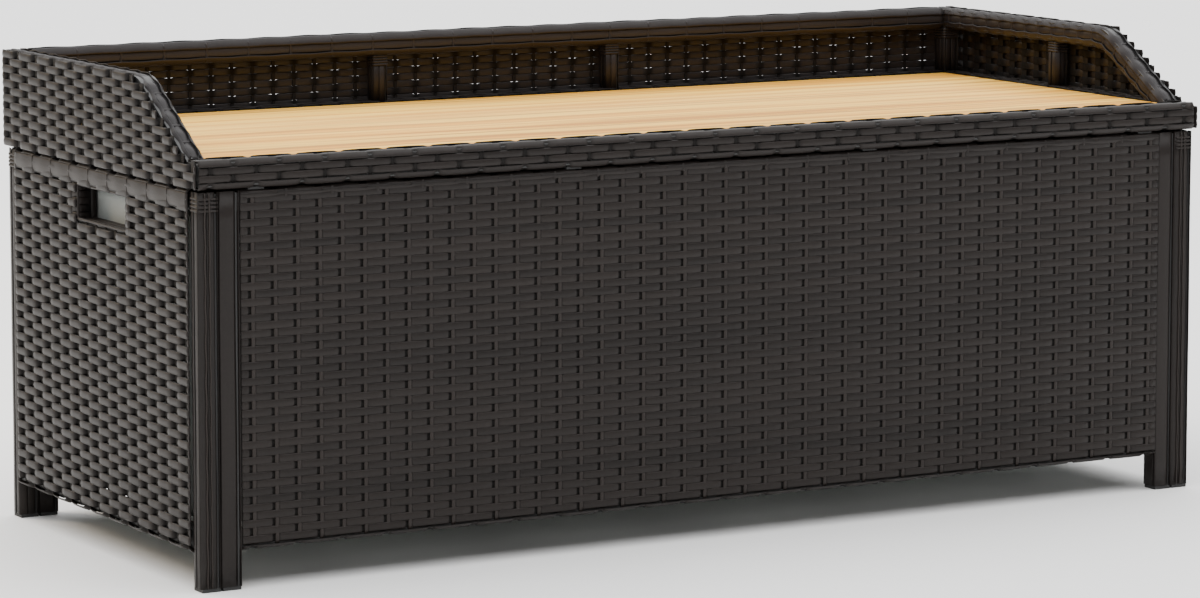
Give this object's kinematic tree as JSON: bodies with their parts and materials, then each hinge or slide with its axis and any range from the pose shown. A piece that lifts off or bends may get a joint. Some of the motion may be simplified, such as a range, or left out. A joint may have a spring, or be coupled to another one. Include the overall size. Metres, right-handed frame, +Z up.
{
  "type": "storage bench",
  "caption": "Woven storage bench with a hinged lid that carries a boarded seat, a low backrest and sloping arms, over a box with a fabric liner.",
  "frame": {"origin": "on the ground under the centre of the bench", "axes": "+X along the length to the sitter's left when seated, front faces -Y, +Z up"},
  "size_m": [1.38, 0.56, 0.575],
  "materials": {
    "woven_strip": "flat extruded plastic strip, dark brown-black, finely lined, satin",
    "coated_steel": "black powder coat",
    "seat_wood": "light hardwood boards, oiled, fine straight grain along the length",
    "liner_fabric": "light grey coated plain-weave lining",
    "black_plastic": "moulded black plastic",
    "black_rubber": "black rubber",
    "black_paint": "gloss black paint",
    "chromed_rod": "polished rod",
    "zinc_hardware": "zinc-plated steel"
  },
  "bodies": {
    "box": {"back_panel_frame": "coated_steel", "back_weave": "woven_strip", "corner_bolts": "zinc_hardware", "corner_washers": "zinc_hardware", "floor_bars": "coated_steel", "floor_screws": "zinc_hardware", "foot_caps": "black_plastic", "front_panel_frame": "coated_steel", "front_weave": "woven_strip", "hinge_fixed_leaf_left": "zinc_hardware", "hinge_fixed_leaf_right": "zinc_hardware", "hinge_pin_left": "zinc_hardware", "hinge_pin_right": "zinc_hardware", "hinge_screws_body": "zinc_hardware", "left_handle_binding": "woven_strip", "left_panel_frame": "coated_steel", "left_weave": "woven_strip", "leg_wraps": "woven_strip", "liner_bag": "liner_fabric", "liner_snaps": "zinc_hardware", "liner_tabs": "liner_fabric", "right_handle_binding": "woven_strip", "right_panel_frame": "coated_steel", "right_weave": "woven_strip", "rivet_nuts": "zinc_hardware", "strut_bracket_body_left": "coated_steel", "strut_bracket_body_right": "coated_steel"},
    "lid": {"back_rail_wrap": "woven_strip", "back_rim_wrap": "woven_strip", "backrest_frame": "coated_steel", "backrest_weave": "woven_strip", "front_rim_wrap": "woven_strip", "hinge_lid_leaf_left": "zinc_hardware", "hinge_lid_leaf_right": "zinc_hardware", "hinge_screws_lid": "zinc_hardware", "left_arm_frame": "coated_steel", "left_arm_rail_wrap": "woven_strip", "left_arm_weave": "woven_strip", "left_rim_wrap": "woven_strip", "lid_bumpers": "black_rubber", "lid_frame": "coated_steel", "post_wraps": "woven_strip", "right_arm_frame": "coated_steel", "right_arm_rail_wrap": "woven_strip", "right_arm_weave": "woven_strip", "right_rim_wrap": "woven_strip", "seat_board_1": "seat_wood", "seat_board_2": "seat_wood", "seat_board_3": "seat_wood", "seat_board_4": "seat_wood", "seat_screws": "zinc_hardware", "strut_bracket_lid_left": "coated_steel", "strut_bracket_lid_right": "coated_steel"},
    "strut_tube_left": {"strut_cylinder_left": "black_paint"},
    "strut_piston_left": {"strut_rod_left": "chromed_rod"},
    "strut_tube_right": {"strut_cylinder_right": "black_paint"},
    "strut_piston_right": {"strut_rod_right": "chromed_rod"}
  },
  "joints": [
    {"name": "lid_hinge", "type": "hinge", "parent": "box", "child": "lid", "pos_m": [0, 0.277, 0.4565], "axis": [-1, 0, 0], "range_deg": [0, 75]},
    {"name": "strut_tilt_left", "type": "hinge", "parent": "box", "child": "strut_tube_left", "pos_m": [-0.646, 0.232, 0.32], "axis": [-1, 0, 0], "range_deg": [0, 18.4]},
    {"name": "strut_slide_left", "type": "slide", "parent": "strut_tube_left", "child": "strut_piston_left", "axis": [0, -0.2462, 0.9692], "range_m": [0, 0.07889]},
    {"name": "strut_tilt_right", "type": "hinge", "parent": "box", "child": "strut_tube_right", "pos_m": [0.646, 0.232, 0.32], "axis": [-1, 0, 0], "range_deg": [0, 18.4]},
    {"name": "strut_slide_right", "type": "slide", "parent": "strut_tube_right", "child": "strut_piston_right", "axis": [0, -0.2462, 0.9692], "range_m": [0, 0.07889]}
  ],
  "couplings": [
    {"joint": "strut_tilt_left", "follows": "lid_hinge", "ratio": 0.2447},
    {"joint": "strut_slide_left", "follows": "lid_hinge", "m_per_rad": 0.060117},
    {"joint": "strut_tilt_right", "follows": "lid_hinge", "ratio": 0.2447},
    {"joint": "strut_slide_right", "follows": "lid_hinge", "m_per_rad": 0.060117}
  ]
}
